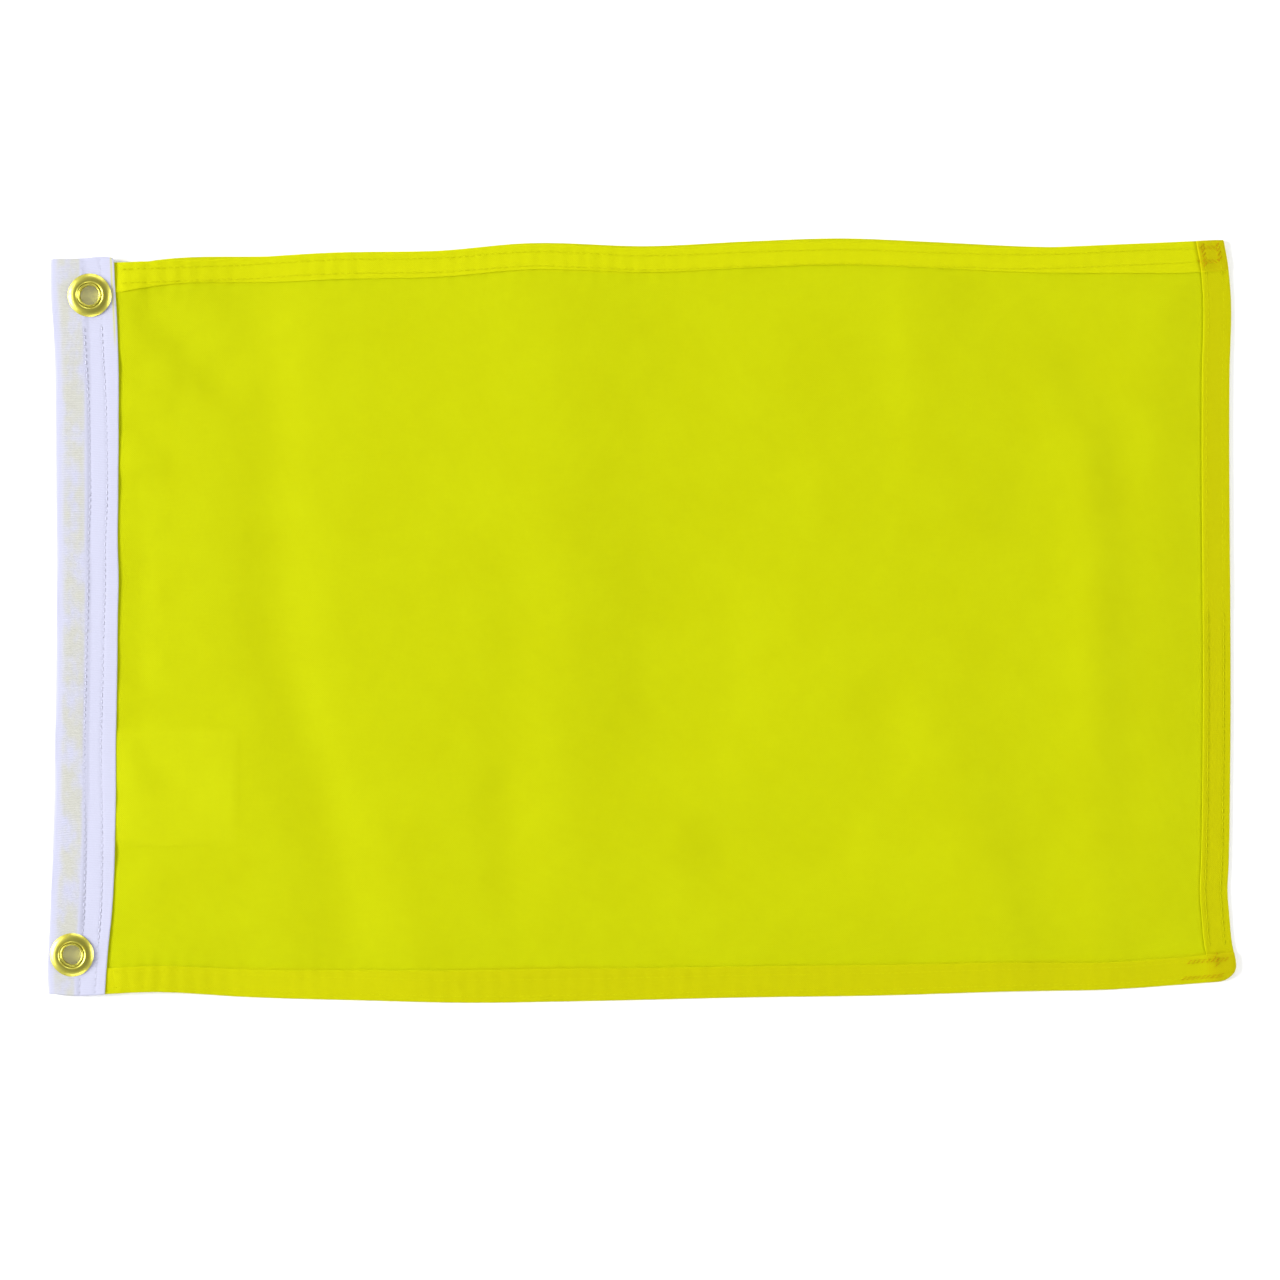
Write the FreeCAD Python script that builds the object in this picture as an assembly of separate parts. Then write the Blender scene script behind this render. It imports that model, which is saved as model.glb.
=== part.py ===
# Plain signal flag: a hemmed yellow field sewn into a white folded heading with two
# brass grommets, lying flat on a surface. Millimetres.
#
# Frame: the origin is on the surface, under the middle of the flag. +X runs along the
# fly, away from the heading. +Y runs up the hoist, and +Z is off the surface, out of
# the flag's front, where the hems are turned and the grommet washers lie.
#
# The field is one limp cloth. It swings about a bend line a little outside the stiff
# heading, so its solid is cut there: field_root stays with the heading, and
# field_cloth swings with its hems and their threads.
import FreeCAD, Part
import math
import os

# ---- Driving dimensions -------------------------------------------------------------
FLY = 482.6               # heading fold to fly edge
HOIST = 305.0             # bottom edge to top edge
CLOTH = 0.3               # one ply of field cloth

HEADING_WIDTH = 25.4
CANVAS = 0.5              # one ply of heading canvas
CAVITY = 0.9              # room between the heading's two plies, round the webbing
SEAM_CAVITY = 0.6         # room between them where the field's edge is held
CAVITY_STEP = (12.8, 14.0)        # from the fold, where it narrows from one to other
HEADING_LIFT = 2.2        # middle of the heading above the surface, on its eyelets

WEBBING_WIDTH = 11.5
WEBBING_THICKNESS = 0.8
WEBBING_INSET = 1.1       # from the heading's fold to the webbing's edge
WEBBING_SHORT = 2.5       # how far the webbing stops short of each heading end

HEM = 12.0                # finished hem width
HEM_PLIES = 3
ROW_FROM_EDGE = 2.5       # outer hem row, from the finished edge
NEEDLE_GAUGE = 6.6        # between the two rows of the twin-needle stitch
HEADING_ROW = 11.5        # inner heading row, from the fold

THREAD_WIDTH = 0.5
THREAD_DEPTH = 0.2        # the stitches sink this far into the plies
THREAD_CLEARANCE = 0.02
ROW_END = 1.0             # a row stops this far from a finished edge
TACK_LENGTH = 26.0        # back-tacked length of a row at a fly corner

LABEL_REACH = 51.5        # from the heading's edge
LABEL_HEIGHT = 47.5
LABEL_CENTRE_Y = -68.0
LABEL_THICKNESS = 0.12
LABEL_TUCK = 5.0          # length held in the heading seam
LABEL_DROP = 12.0         # heading edge to where it has come down to the surface
SURFACE_CLEARANCE = 0.05  # under the label and the troughs of the cloth
PLY_GAP = 0.02            # between two plies that lie on each other

GROMMET_HOLE_R = 4.0
GROMMET_RIM_R = 8.85
BRASS = 0.4               # sheet thickness
BARREL_CLEARANCE = 0.1
UPPER_GROMMET = (16.1, 133.2)     # from the heading's fold, and up from the middle
LOWER_GROMMET = (8.9, -136.2)

BEND = 15.0               # heading edge to the line that the field swings about
BEND_GAP = 1.1            # each cut end of the field cloth to that line
FIELD_TUCK = 11.4         # field cloth held inside the heading

RIPPLE_HEIGHT = 2.0       # ridge above trough, where the cloth lies in ripples
RIDGES = 3
FIRST_TROUGH = 75.0       # heading edge to where the cloth has come down
FLAT_END = 33.0           # stretch at the fly that lies flat

# ---- Places worked out from them ----------------------------------------------------
FOLD_X = -FLY / 2
FLY_X = FLY / 2
HEADING_X = FOLD_X + HEADING_WIDTH
SWING_X = HEADING_X + BEND
FLY_HEM_X = FLY_X - HEM
TOP_Y = HOIST / 2
HEM_Y = TOP_Y - HEM
HALF = CLOTH / 2
HEADING_HALF = CAVITY / 2 + CANVAS
SEAM_HALF = SEAM_CAVITY / 2 + CANVAS
HEM_TOP = HALF + (HEM_PLIES - 1) * CLOTH
CORNER_TOP = HEM_TOP + (HEM_PLIES - 1) * CLOTH
HEM_ROWS = (ROW_FROM_EDGE, ROW_FROM_EDGE + NEEDLE_GAUGE)
HEADING_ROWS = (HEADING_ROW, HEADING_ROW + NEEDLE_GAUGE)
BARREL_R = GROMMET_HOLE_R + BRASS
PUNCH_R = BARREL_R + BARREL_CLEARANCE
GROMMETS = {"upper": UPPER_GROMMET, "lower": LOWER_GROMMET}
TROUGH_Z = HALF + SURFACE_CLEARANCE


# ---- Slabs that follow the lie of the cloth -----------------------------------------
def level_places():
    """Where the cloth's middle is level, as (x, z): it leaves the heading level, comes
    down to the surface, and goes over the ridges to the flat stretch at the fly."""
    start = HEADING_X + FIRST_TROUGH
    pitch = (FLY_X - FLAT_END - start) / (2 * RIDGES)
    places = [(HEADING_X, HEADING_LIFT)]
    for i in range(2 * RIDGES + 1):
        places.append((start + i * pitch, TROUGH_Z + (i % 2) * RIPPLE_HEIGHT))
    return places


LEVEL_PLACES = level_places()


def lie(x):
    """Height of the cloth's middle: two equal arcs join each pair of level places."""
    if x <= HEADING_X:
        return HEADING_LIFT
    for (x0, z0), (x1, z1) in zip(LEVEL_PLACES, LEVEL_PLACES[1:]):
        if x < x1:
            run, rise = x1 - x0, z1 - z0
            radius = (run ** 2 + rise ** 2) / (4 * abs(rise))
            near_x, near_z = (x0, z0) if x < (x0 + x1) / 2 else (x1, z1)
            away = math.copysign(1, rise) * (1 if near_x == x0 else -1)
            return near_z + away * (radius - math.sqrt(radius ** 2 - (x - near_x) ** 2))
    return TROUGH_Z


def lying_edges(x0, x1, offset):
    """Lines and arcs of the lying cloth from x0 to x1, offset upward."""
    level_xs = [x for x, _ in LEVEL_PLACES]
    changes = level_xs + [(a + b) / 2 for a, b in zip(level_xs, level_xs[1:])]
    stops = [x0] + sorted(x for x in changes if x0 < x < x1) + [x1]

    def at(x):
        return FreeCAD.Vector(x, 0, lie(x) + offset)

    edges = []
    for a, b in zip(stops, stops[1:]):
        if b <= level_xs[0] or a >= level_xs[-1]:
            edges.append(Part.makeLine(at(a), at(b)))
        else:
            edges.append(Part.Arc(at(a), at((a + b) / 2), at(b)).toShape())
    return edges


def slab(strips, y0, y1):
    """A solid between y0 and y1. Each strip is (x0, x1, low, high), offsets from the
    lying curve, and the strips run on from each other."""
    edges = []

    def join(a, b):
        if a.distanceToPoint(b) > 1e-7:
            edges.append(Part.makeLine(a, b))

    def corner(x, offset):
        return FreeCAD.Vector(x, 0, lie(x) + offset)

    join(corner(strips[0][0], strips[0][3]), corner(strips[0][0], strips[0][2]))
    for i, (x0, x1, low, _) in enumerate(strips):
        edges += lying_edges(x0, x1, low)
        if i + 1 < len(strips):
            join(corner(x1, low), corner(x1, strips[i + 1][2]))
    join(corner(strips[-1][1], strips[-1][2]), corner(strips[-1][1], strips[-1][3]))
    for i, (x0, x1, _, high) in reversed(list(enumerate(strips))):
        edges += lying_edges(x0, x1, high)
        if i:
            join(corner(x0, high), corner(x0, strips[i - 1][3]))
    face = Part.Face(Part.Wire(Part.__sortEdges__(edges)))
    face.translate(FreeCAD.Vector(0, y0, 0))
    return face.extrude(FreeCAD.Vector(0, y1 - y0, 0))


def joined(solids):
    """The solids fused into one shape, without the seams between them."""
    whole = solids[0] if len(solids) == 1 else solids[0].multiFuse(solids[1:])
    return whole.removeSplitter()


def sunk(strips, front=True, back=True):
    """The same strips with a stitch's depth taken off them."""
    lower = THREAD_DEPTH if back else 0.0
    upper = THREAD_DEPTH if front else 0.0
    return [(x0, x1, low + lower, high - upper) for x0, x1, low, high in strips]


# ---- Field cloth --------------------------------------------------------------------
def fly_hem_strips(high):
    """The fly hem across its width, with a groove for each of its two rows."""
    strips = []
    x = FLY_HEM_X
    for from_edge in sorted(HEM_ROWS, reverse=True):
        groove = FLY_X - from_edge - THREAD_WIDTH / 2
        strips.append((x, groove, -HALF, high))
        strips += sunk([(groove, groove + THREAD_WIDTH, -HALF, high)])
        x = groove + THREAD_WIDTH
    return strips + [(x, FLY_X, -HALF, high)]


def hem_slabs(strips, grooved_strips, side):
    """The slabs of the top (side 1) or bottom (side -1) hem, grooved at its rows."""
    slabs = []
    y = TOP_Y
    for from_edge in HEM_ROWS:
        groove = TOP_Y - from_edge + THREAD_WIDTH / 2
        slabs.append(slab(strips, *sorted((side * y, side * groove))))
        y = groove - THREAD_WIDTH
        slabs.append(slab(grooved_strips, *sorted((side * groove, side * y))))
    return slabs + [slab(strips, *sorted((side * y, side * HEM_Y)))]


def field_cloth():
    """The swinging cloth. The fly hem is turned over the top one, and the bottom over
    the fly hem, so those corners have two hems' plies."""
    start = SWING_X + BEND_GAP
    middle = [(start, FLY_HEM_X, -HALF, HALF)] + fly_hem_strips(HEM_TOP)
    hem = [(start, FLY_HEM_X, -HALF, HEM_TOP)]
    top_corner = fly_hem_strips(CORNER_TOP)
    bottom_corner = [(FLY_HEM_X, FLY_X, -HALF, CORNER_TOP)]
    return joined(
        [slab(middle, -HEM_Y, HEM_Y)]
        + hem_slabs(hem + top_corner, sunk(hem) + top_corner, 1)
        + hem_slabs(hem + bottom_corner, sunk(hem + bottom_corner), -1)
    )


def field_root():
    """The cloth from inside the heading to the bend line; its hems start outside."""
    inside = (HEADING_X - FIELD_TUCK, HEADING_X + THREAD_WIDTH, -HALF, HALF)
    outside = (inside[1], SWING_X - BEND_GAP, -HALF)
    plain = [inside, outside + (HALF,)]
    hemmed = [inside, outside + (HEM_TOP,)]
    root = joined([
        slab(hemmed, -TOP_Y, -HEM_Y),
        slab(plain, -HEM_Y, HEM_Y),
        slab(hemmed, HEM_Y, TOP_Y),
    ])
    return punched(root)


# ---- Heading ------------------------------------------------------------------------
def grommet_place(name):
    """The middle of a grommet, at the height of the heading's middle."""
    from_fold, y = GROMMETS[name]
    return FreeCAD.Vector(FOLD_X + from_fold, y, HEADING_LIFT)


def punched(shape, radius=PUNCH_R):
    """The shape with both grommet holes punched through it."""
    for name in GROMMETS:
        foot = grommet_place(name) - FreeCAD.Vector(0, 0, HEADING_LIFT)
        shape = shape.cut(Part.makeCylinder(radius, 4 * HEADING_LIFT, foot))
    return shape


def heading_half(from_fold):
    """Half the heading's thickness over the webbing, and less over the field's edge."""
    return HEADING_HALF if from_fold < CAVITY_STEP[0] else SEAM_HALF


def heading_canvas():
    """Tape folded lengthwise round the hoist, with grooves for its two rows."""
    def ply(side):
        """Corners of the upper (1) or lower (-1) ply, outside then back inside."""
        step_start, step_end = CAVITY_STEP
        corners = [(HEADING_HALF, HEADING_HALF)]
        for row, x in enumerate(HEADING_ROWS):
            if row:
                corners += [(step_start, HEADING_HALF), (step_end, SEAM_HALF)]
            face = heading_half(x)
            floor = face - THREAD_DEPTH
            left, right = x - THREAD_WIDTH / 2, x + THREAD_WIDTH / 2
            corners += [(left, face), (left, floor), (right, floor), (right, face)]
        corners += [
            (HEADING_WIDTH, SEAM_HALF), (HEADING_WIDTH, SEAM_CAVITY / 2),
            (step_end, SEAM_CAVITY / 2), (step_start, CAVITY / 2),
            (HEADING_HALF, CAVITY / 2),
        ]
        return [at(x, side * z) for x, z in corners]

    def at(x, z):
        return FreeCAD.Vector(FOLD_X + x, -TOP_Y, HEADING_LIFT + z)

    upper = ply(1)
    lower = ply(-1)
    outer_fold = Part.Arc(lower[0], at(0, 0), upper[0]).toShape()
    inner_fold = Part.Arc(upper[-1], at(CANVAS, 0), lower[-1]).toShape()
    edges = [outer_fold]
    edges += [Part.makeLine(a, b) for a, b in zip(upper, upper[1:])]
    edges.append(inner_fold)
    backward = lower[::-1]
    edges += [Part.makeLine(a, b) for a, b in zip(backward, backward[1:])]
    tape = Part.Face(Part.Wire(edges)).extrude(FreeCAD.Vector(0, HOIST, 0))
    return punched(tape)


def heading_webbing():
    """The stiffening strip inside the heading's fold."""
    corner = FreeCAD.Vector(FOLD_X + WEBBING_INSET, WEBBING_SHORT - TOP_Y,
                            HEADING_LIFT - WEBBING_THICKNESS / 2)
    strip = Part.makeBox(WEBBING_WIDTH, HOIST - 2 * WEBBING_SHORT, WEBBING_THICKNESS,
                         corner)
    return punched(strip)


def label():
    """A blank tag held in the heading seam behind the field, lying on the surface."""
    held = HEADING_LIFT - HALF - PLY_GAP - LABEL_THICKNESS
    spine = [
        (HEADING_X - LABEL_TUCK, held),
        (HEADING_X + PLY_GAP, held),
        (HEADING_X + LABEL_DROP, SURFACE_CLEARANCE),
        (HEADING_X + LABEL_REACH, SURFACE_CLEARANCE),
    ]
    under = [FreeCAD.Vector(x, 0, z) for x, z in spine]
    over = [FreeCAD.Vector(x, 0, z + LABEL_THICKNESS) for x, z in reversed(spine)]
    outline = Part.makePolygon(under + over + under[:1])
    face = Part.Face(outline)
    face.translate(FreeCAD.Vector(0, LABEL_CENTRE_Y - LABEL_HEIGHT / 2, 0))
    return face.extrude(FreeCAD.Vector(0, LABEL_HEIGHT, 0))


# ---- Grommets -----------------------------------------------------------------------
DOME_R = 6.5              # where the eyelet's flange stands proudest
WASHER_CREST_R = 5.95     # where the washer stands proudest, just outside the lip
WASHER_DOME = 1.15        # above the canvas
WASHER_VALLEY_R = 5.0     # where the dome comes down to the washer's flat middle
LIP_R = 4.85              # outer radius of the barrel's curled lip
LIP_RISE = 0.5            # above the washer's flat middle
SHOULDER = 0.1            # straight edge before a surface starts to curve


def revolved(edges, name):
    """A solid turned about a grommet's axis, from edges in radius and height."""
    profile = Part.Face(Part.Wire(Part.__sortEdges__(edges)))
    ring = profile.revolve(FreeCAD.Vector(0, 0, 0), FreeCAD.Vector(0, 0, 1), 360)
    ring.translate(grommet_place(name))
    return ring


def point(radius, height):
    """A point of a grommet's profile."""
    return FreeCAD.Vector(radius, 0, height)


def eyelet(name):
    """Domed flange against the back, barrel through the plies, and the lip curled over
    the washer on the front."""
    seat = -HEADING_HALF
    proud = -HEADING_LIFT
    neck = seat + SHOULDER
    lip_foot = HEADING_HALF + BRASS + PLY_GAP
    lip_top = HEADING_HALF + BRASS + LIP_RISE
    lip_shoulder = lip_foot + SHOULDER
    rim = point(GROMMET_RIM_R, seat)
    rim_inside = point(GROMMET_RIM_R - BRASS, seat)
    hole_foot = point(GROMMET_HOLE_R, neck)
    hole_top = point(GROMMET_HOLE_R, lip_shoulder)
    lip_edge = point(LIP_R, lip_shoulder)
    lip_under = point(LIP_R, lip_foot)
    barrel_top = point(BARREL_R, lip_foot)
    barrel_foot = point(BARREL_R, seat)
    middle_r = (GROMMET_HOLE_R + LIP_R) / 2
    return revolved([
        Part.Arc(rim, point(DOME_R, proud), hole_foot).toShape(),
        Part.makeLine(hole_foot, hole_top),
        Part.Arc(hole_top, point(middle_r, lip_top), lip_edge).toShape(),
        Part.makeLine(lip_edge, lip_under),
        Part.makeLine(lip_under, barrel_top),
        Part.makeLine(barrel_top, barrel_foot),
        Part.Arc(barrel_foot, point(DOME_R, proud + BRASS), rim_inside).toShape(),
        Part.makeLine(rim_inside, rim),
    ], name)


def flank(crest, foot):
    """The arc that is level at the crest and runs down to the foot."""
    run, fall = foot.x - crest.x, crest.z - foot.z
    radius = (run ** 2 + fall ** 2) / (2 * fall)
    half = math.acos(1 - fall / radius) / 2
    middle = point(crest.x + math.copysign(radius * math.sin(half), run),
                   crest.z - radius * (1 - math.cos(half)))
    return Part.Arc(crest, middle, foot).toShape()


def flank_inside(crest, foot, seat):
    """Where the inside of a flank, one sheet thickness in, meets the seat."""
    run, fall = foot.x - crest.x, crest.z - foot.z
    radius = (run ** 2 + fall ** 2) / (2 * fall)
    reach = math.sqrt((radius - BRASS) ** 2 - (radius - crest.z + seat) ** 2)
    return point(crest.x + math.copysign(reach, run), seat)


def washer(name):
    """Ring on the front with a long outer slope and a short inner one, flat where the
    eyelet's lip holds it."""
    seat = HEADING_HALF
    crest = point(WASHER_CREST_R, seat + WASHER_DOME)
    crest_under = point(WASHER_CREST_R, seat + WASHER_DOME - BRASS)
    rim = point(GROMMET_RIM_R, seat)
    rim_inside = flank_inside(crest, rim, seat)
    valley = point(WASHER_VALLEY_R, seat + BRASS)
    valley_under = flank_inside(crest, valley, seat)
    inner_top = point(PUNCH_R, seat + BRASS)
    inner_foot = point(PUNCH_R, seat)
    return revolved([
        flank(crest, rim),
        flank(crest, valley),
        Part.makeLine(valley, inner_top),
        Part.makeLine(inner_top, inner_foot),
        Part.makeLine(inner_foot, valley_under),
        flank(crest_under, valley_under),
        flank(crest_under, rim_inside),
        Part.makeLine(rim_inside, rim),
    ], name)


# ---- Threads ------------------------------------------------------------------------
def in_groove(x0, x1, surface, front):
    """The strip of a thread sunk flush into a surface at that offset."""
    depth = THREAD_DEPTH - THREAD_CLEARANCE
    if front:
        return (x0, x1, surface - depth, surface)
    return (x0, x1, surface, surface + depth)


def row_span(middle):
    """The two edges of a thread centred on a row, clear of the groove's walls."""
    half = THREAD_WIDTH / 2 - THREAD_CLEARANCE
    return middle - half, middle + half


def heading_thread(row, front):
    """A heading row in one ply, cut where the grommets were punched through it."""
    x0, x1 = row_span(FOLD_X + HEADING_ROWS[row])
    depth = THREAD_DEPTH - THREAD_CLEARANCE
    half = heading_half(HEADING_ROWS[row])
    foot = HEADING_LIFT + (half - depth if front else -half)
    strip = Part.makeBox(x1 - x0, HOIST - 2 * ROW_END, depth,
                         FreeCAD.Vector(x0, ROW_END - TOP_Y, foot))
    return punched(strip, PUNCH_R + THREAD_CLEARANCE)


def top_hem_thread(row, front):
    """A top hem row, from the bend line to where the fly hem covers it."""
    span = row_span(TOP_Y - HEM_ROWS[row])
    surface = HEM_TOP if front else -HALF
    strip = in_groove(SWING_X + BEND_GAP, FLY_HEM_X - THREAD_CLEARANCE, surface, front)
    return slab([strip], *span)


def bottom_hem_thread(row, front):
    """A bottom hem row; on the front it steps up onto the corner's extra plies."""
    span = row_span(HEM_ROWS[row] - TOP_Y)
    start, end = SWING_X + BEND_GAP, FLY_X - ROW_END
    if not front:
        return slab([in_groove(start, end, -HALF, False)], *span)
    step = FLY_HEM_X - THREAD_CLEARANCE
    lower = in_groove(start, step - THREAD_WIDTH, HEM_TOP, True)
    upper = in_groove(step, end, CORNER_TOP, True)
    riser = (step - THREAD_WIDTH, step, lower[2], CORNER_TOP)
    return slab([lower, riser, upper], *span)


def fly_hem_thread(row, front):
    """A fly hem row, from the bottom hem up over the top one to the corner."""
    x0, x1 = row_span(FLY_X - HEM_ROWS[row])
    foot, end = THREAD_CLEARANCE - HEM_Y, TOP_Y - ROW_END
    if not front:
        return slab([in_groove(x0, x1, -HALF, False)], foot, end)
    step = HEM_Y - THREAD_CLEARANCE
    lower = in_groove(x0, x1, HEM_TOP, True)
    upper = in_groove(x0, x1, CORNER_TOP, True)
    riser = (x0, x1, lower[2], CORNER_TOP)
    return joined([
        slab([lower], foot, step - THREAD_WIDTH),
        slab([riser], step - THREAD_WIDTH, step),
        slab([upper], step, end),
    ])


def upper_corner_tack():
    """Reinforcing stitches over the ends of the fly hem rows, at the top corner."""
    end = TOP_Y - ROW_END
    tacks = []
    for from_edge in HEM_ROWS:
        strip = (*row_span(FLY_X - from_edge), CORNER_TOP, CORNER_TOP + THREAD_DEPTH)
        tacks.append(slab([strip], HEM_Y + THREAD_WIDTH, end))
    return Part.makeCompound(tacks)


def lower_corner_tack():
    """Reinforcing stitches over the ends of the bottom hem rows, at the fly."""
    start, end = FLY_X - TACK_LENGTH, FLY_X - ROW_END
    step = FLY_HEM_X - THREAD_CLEARANCE - THREAD_WIDTH
    tacks = []
    for from_edge in HEM_ROWS:
        span = row_span(from_edge - TOP_Y)
        low = (start, step - THREAD_CLEARANCE, HEM_TOP, HEM_TOP + THREAD_DEPTH)
        high = (FLY_HEM_X, end, CORNER_TOP, CORNER_TOP + THREAD_DEPTH)
        tacks += [slab([low], *span), slab([high], *span)]
    return Part.makeCompound(tacks)


# ---- Files --------------------------------------------------------------------------
def parts():
    """Every node's name and shape."""
    yield "field_cloth", field_cloth()
    yield "field_root", field_root()
    yield "heading_canvas", heading_canvas()
    yield "heading_webbing", heading_webbing()
    yield "label", label()
    for name in GROMMETS:
        yield f"{name}_eyelet", eyelet(name)
        yield f"{name}_washer", washer(name)
    rows = {
        "heading": (heading_thread, ("inner", "outer")),
        "top_hem": (top_hem_thread, ("outer", "inner")),
        "bottom_hem": (bottom_hem_thread, ("outer", "inner")),
        "fly_hem": (fly_hem_thread, ("outer", "inner")),
    }
    for place, (make, row_names) in rows.items():
        for row, row_name in enumerate(row_names):
            yield f"{place}_{row_name}_needle_thread", make(row, True)
            yield f"{place}_{row_name}_bobbin_thread", make(row, False)
    yield "upper_corner_tack_thread", upper_corner_tack()
    yield "lower_corner_tack_thread", lower_corner_tack()


os.makedirs("parts", exist_ok=True)
for node, shape in parts():
    if not shape.isValid():
        raise SystemExit(f"{node} is not a valid shape")
    shape.exportStep(f"parts/{node}.step")
    print(f"{node}: {len(shape.Solids)} solids, {shape.Volume:.1f} mm3")
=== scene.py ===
# A plain yellow flag with a white grommeted heading, lying flat and seen from above.
# Lengths inside this script are millimetres in the row frame: +X along the fly, +Y up
# the hoist, +Z out of the flag's front. build_mesh turns them into metres.
import math

import bpy
import numpy as np
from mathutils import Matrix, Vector


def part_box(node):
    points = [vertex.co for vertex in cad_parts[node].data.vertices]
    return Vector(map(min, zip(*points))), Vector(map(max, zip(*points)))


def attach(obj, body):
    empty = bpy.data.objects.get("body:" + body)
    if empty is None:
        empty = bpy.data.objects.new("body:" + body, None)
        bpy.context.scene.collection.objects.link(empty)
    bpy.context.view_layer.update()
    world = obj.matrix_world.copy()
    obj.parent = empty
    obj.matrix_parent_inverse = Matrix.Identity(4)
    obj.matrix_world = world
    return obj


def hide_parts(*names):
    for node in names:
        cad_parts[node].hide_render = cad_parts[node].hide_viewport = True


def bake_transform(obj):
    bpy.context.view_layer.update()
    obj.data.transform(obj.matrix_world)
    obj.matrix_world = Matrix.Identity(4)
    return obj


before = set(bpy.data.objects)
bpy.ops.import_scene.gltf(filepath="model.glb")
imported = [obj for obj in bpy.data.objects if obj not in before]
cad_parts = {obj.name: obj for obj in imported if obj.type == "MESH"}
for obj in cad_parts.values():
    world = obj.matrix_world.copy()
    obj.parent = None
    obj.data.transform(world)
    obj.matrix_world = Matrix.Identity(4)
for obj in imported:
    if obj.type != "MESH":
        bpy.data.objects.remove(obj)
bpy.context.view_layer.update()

MM = 0.001
SEED = 7


def mm_box(node):
    """A CAD node's lowest and highest corners in millimetres."""
    low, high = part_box(node)
    return np.array(low) / MM, np.array(high) / MM


# ---- Places from the frame ----
canvas_low, canvas_high = mm_box("heading_canvas")
_, cloth_high = mm_box("field_cloth")
label_low, label_high = mm_box("label")

FOLD_X = canvas_low[0]
SEAM_X = canvas_high[0]
FLY_X = cloth_high[0]
TOP_Y = cloth_high[1]
FLY = FLY_X - SEAM_X
HOIST = 2 * TOP_Y
HEADING_WIDTH = SEAM_X - FOLD_X
HEADING_Z = (canvas_low[2] + canvas_high[2]) / 2
HEADING_HALF = (canvas_high[2] - canvas_low[2]) / 2

GROMMETS = {}
for grommet in ("upper", "lower"):
    low, high = mm_box(f"{grommet}_eyelet")
    GROMMETS[grommet] = (low[:2] + high[:2]) / 2
PUNCH_R = 4.5             # the holes in the plies, round a grommet's barrel
RIM_R = 9.0               # a grommet's rim, with a little room

# ---- Cloth ----
CLOTH = 0.24              # thickness of the field cloth
PLY = 0.25                # from one ply to the next in a fold
CORNER_CRUSH = 0.3        # share of the extra plies' thickness left in a corner
FLOOR_GAP = 0.05          # under the cloth where it touches the surface
TUCK = 11.4               # cloth held inside the heading
TURN_IN = 10.5            # raw edge turned inside a hem
FLY_HEM = 11.2            # finished width of the fly hem
FLAT_HEM = 11.0           # width that the other hems' grid lines are laid out for
TOP_ROWS = (2.9, 8.6)     # stitched rows, from the finished edge
BOTTOM_ROWS = (2.4, 9.0)
FLY_ROWS = (2.9, 9.3)


def smoothstep(t):
    """0 below t = 0, 1 above t = 1, and a smooth rise between."""
    t = np.clip(t, 0.0, 1.0)
    return t * t * (3 - 2 * t)


def bump(distance, width):
    """1 at no distance, falling smoothly to nothing over about twice the width."""
    return np.exp(-((distance / width) ** 2))


def line_through(*points):
    """A function whose smooth curve runs through (place, value) points."""
    xs, ys = (np.array(v, float) for v in zip(*sorted(points)))
    slopes = np.gradient(ys, xs)

    def at(x):
        x = np.clip(x, xs[0], xs[-1])
        i = np.clip(np.searchsorted(xs, x, side="right") - 1, 0, len(xs) - 2)
        run = xs[i + 1] - xs[i]
        t = (x - xs[i]) / run
        start = (1 + 2 * t) * (1 - t) ** 2 * ys[i] + t * (1 - t) ** 2 * run * slopes[i]
        end = t * t * (3 - 2 * t) * ys[i + 1] + t * t * (t - 1) * run * slopes[i + 1]
        return start + end

    return at


class Noise:
    """Smooth seeded noise between about -1 and 1, of a given grain in millimetres."""

    def __init__(self, seed, grain_x, grain_y=None):
        self.grain = (grain_x, grain_y or grain_x)
        self.values = np.random.default_rng(SEED + seed).uniform(-1, 1, (64, 64))

    def __call__(self, x, y):
        px, py = np.asarray(x) / self.grain[0], np.asarray(y) / self.grain[1]
        ix, iy = np.floor(px).astype(int), np.floor(py).astype(int)
        tx, ty = smoothstep(px - ix), smoothstep(py - iy)

        def value(dx, dy):
            return self.values[(ix + dx) % 64, (iy + dy) % 64]

        low = value(0, 0) * (1 - tx) + value(1, 0) * tx
        high = value(0, 1) * (1 - tx) + value(1, 1) * tx
        return low * (1 - ty) + high * ty


# ---- Outline: how the flag lies, a little out of square ----
# Each edge is a few (place along it, position) points.
top_edge = line_through(
    (-214, 146.6), (-168, 148.4), (-127, 150.8), (-80, 151.7), (-48, 154.0), (5, 152.5),
    (45, 154.0), (85, 155.0), (120, 153.8), (160, 152.9), (200, 154.3), (238, 155.9),
)
bottom_edge = line_through(
    (-219, -152.4), (-199, -151.4), (-158, -153.6), (-107, -155.1), (-70, -155.9),
    (-25, -155.3), (46, -153.7), (100, -152.9), (149, -151.3), (190, -150.5),
    (221, -148.4), (241, -146.8),
)
fly_edge = line_through(
    (155.8, 238.3), (145, 240.2), (135, 241.1), (100, 240.7), (-60, 241.0),
    (-101, 240.3), (-110, 239.9), (-121, 240.7), (-131, 241.6), (-141, 243.4),
    (-148, 243.0),
)
heading_fold = line_through(
    (148, -241.8), (140, -242.0), (120, -240.6), (63, -239.6), (0, -239.4),
    (-40, -239.9), (-100, -241.1), (-131, -242.4), (-147, -242.8), (-152, -242.4),
)
heading_edge = line_through(
    (148, -215.3), (125, -214.1), (104, -213.5), (60, -213.9), (0, -213.9),
    (-40, -214.4), (-90, -214.9), (-111, -215.7), (-131, -217.3), (-152, -219.1),
)
heading_top = line_through((0, 148.0), (12, 148.1), (22, 148.9), (25.4, 148.5))
heading_bottom = line_through((0, -152.0), (11, -152.9), (18, -152.9), (25.4, -152.4))
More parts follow.
